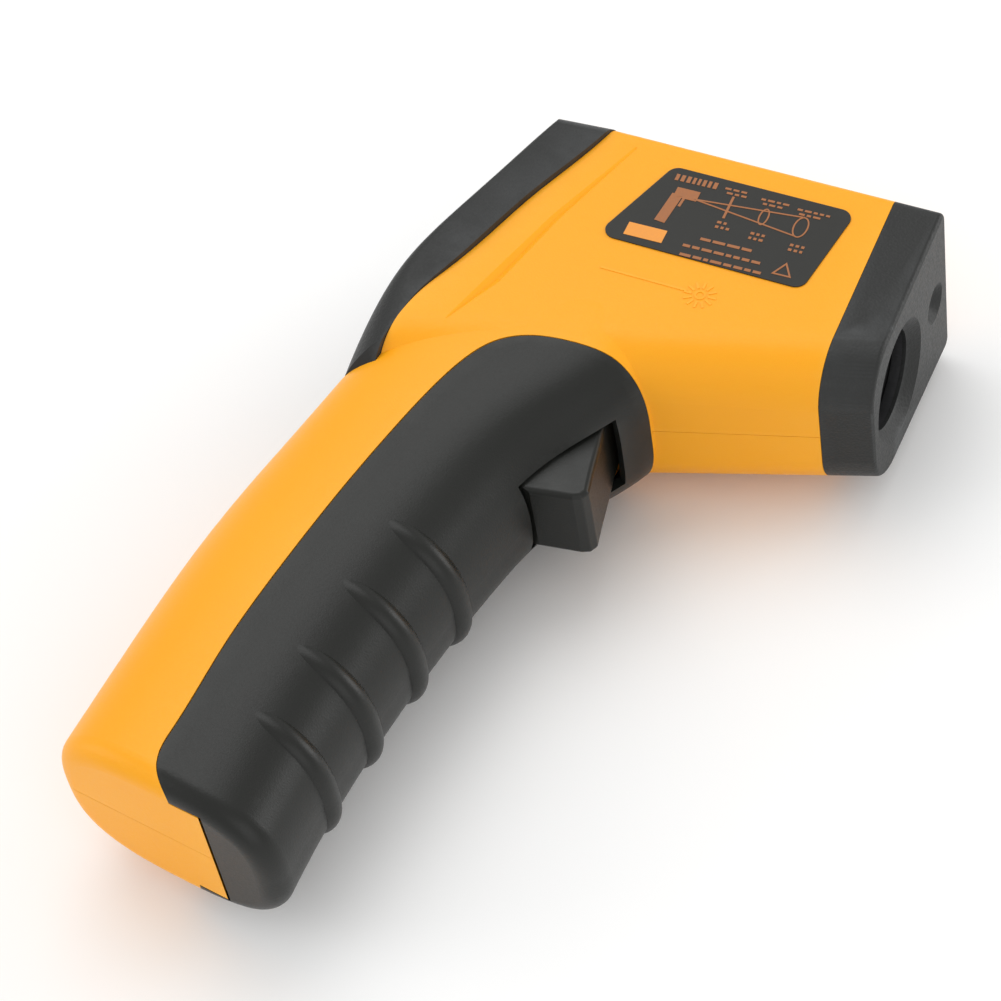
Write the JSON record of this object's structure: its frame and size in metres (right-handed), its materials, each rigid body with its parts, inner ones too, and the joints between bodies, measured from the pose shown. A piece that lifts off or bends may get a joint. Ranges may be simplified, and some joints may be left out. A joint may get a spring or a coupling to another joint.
{
  "type": "infrared thermometer",
  "caption": "Pistol-grip infrared thermometer with a sensor bore and laser in the nose, a rear display, a sprung trigger and a hinged battery door in the grip.",
  "frame": {"origin": "middle of the base of the bounding box, the instrument lying on its left side", "axes": "+X out of the muzzle, +Y from the handle's foot up through the head, +Z out of the right flank, away from the surface it lies on"},
  "size_m": [0.1014, 0.1556, 0.0404],
  "materials": {
    "yellow_shell": "satin moulded ABS, light grain",
    "dark_shell": "fine spark-eroded grain",
    "grip_shell": "satin moulded",
    "label_print": "printed film",
    "screw_steel": "zinc plated",
    "pin_steel": "ground",
    "spring_steel": "drawn wire",
    "inner_plastic": "moulded",
    "barrel_black": "matt black, baffled",
    "lens_film": "milky moulded polyethylene",
    "sensor_can": "drawn can",
    "board_green": "solder mask",
    "chip_black": "moulded",
    "laser_brass": "turned",
    "laser_glass": "polished",
    "window_clear": "clear acrylic",
    "lcd_glass": "reflective liquid crystal",
    "zebra_rubber": "striped silicone",
    "key_rubber": "silicone",
    "battery_jacket": "printed steel jacket",
    "snap_vinyl": "vinyl",
    "foam": "foam",
    "wire_red": "PVC",
    "wire_black": "PVC",
    "wire_grey": "PVC"
  },
  "bodies": {
    "housing": {"left_housing": "yellow_shell", "right_housing": "yellow_shell", "rear_bezel": "dark_shell", "nose_cap": "dark_shell", "housing_screws": "screw_steel", "side_label": "label_print", "door_hinge_pin": "pin_steel", "trigger_pin": "pin_steel", "trigger_spring": "spring_steel", "switch_body": "chip_black", "switch_holder": "inner_plastic", "sensor_barrel": "barrel_black", "fresnel_lens": "lens_film", "lens_ring": "barrel_black", "thermopile_sensor": "sensor_can", "sensor_board": "board_green", "laser_module": "laser_brass", "laser_lens": "laser_glass", "display_window": "window_clear", "lcd_glass": "lcd_glass", "lcd_frame": "inner_plastic", "zebra_strips": "zebra_rubber", "main_board": "board_green", "board_chips": "chip_black", "board_screws": "screw_steel", "keypad_sheet": "key_rubber", "battery_9v": "battery_jacket", "battery_snap": "snap_vinyl", "battery_pad": "foam", "red_lead": "wire_red", "black_lead": "wire_black", "laser_leads": "wire_grey", "sensor_leads": "wire_grey"},
    "door": {"battery_door": "grip_shell"},
    "trigger_lever": {"trigger": "grip_shell"},
    "switch_plunger": {"switch_stem": "wire_grey"},
    "left_key": {"key_left": "key_rubber"},
    "centre_key": {"key_centre": "key_rubber"},
    "right_key": {"key_right": "key_rubber"}
  },
  "joints": [
    {"name": "door_hinge", "type": "hinge", "parent": "housing", "child": "door", "pos_m": [-0.01634, -0.07253, 0.0202], "axis": [0, 0, -1], "range_deg": [0, 60]},
    {"name": "trigger_pull", "type": "hinge", "parent": "housing", "child": "trigger_lever", "pos_m": [0.00366, 0.02317, 0.0202], "axis": [0, 0, -1], "range_deg": [0, 6], "stiffness_Nm_per_rad": 0.3, "springref_deg": -5.73, "deforming": ["trigger_spring"]},
    {"name": "switch_press", "type": "slide", "parent": "housing", "child": "switch_plunger", "axis": [-1, 0, 0], "range_m": [0, 0.0008]},
    {"name": "left_key_press", "type": "slide", "parent": "housing", "child": "left_key", "axis": [0.9511, -0.309, 0], "range_m": [0, 0.0008], "stiffness_N_per_m": 900, "springref_m": -0.0006},
    {"name": "centre_key_press", "type": "slide", "parent": "housing", "child": "centre_key", "axis": [0.9511, -0.309, 0], "range_m": [0, 0.0008], "stiffness_N_per_m": 900, "springref_m": -0.0006},
    {"name": "right_key_press", "type": "slide", "parent": "housing", "child": "right_key", "axis": [0.9511, -0.309, 0], "range_m": [0, 0.0008], "stiffness_N_per_m": 900, "springref_m": -0.0006}
  ],
  "couplings": [
    {"joint": "switch_press", "follows": "trigger_pull", "m_per_rad": 0.006}
  ]
}
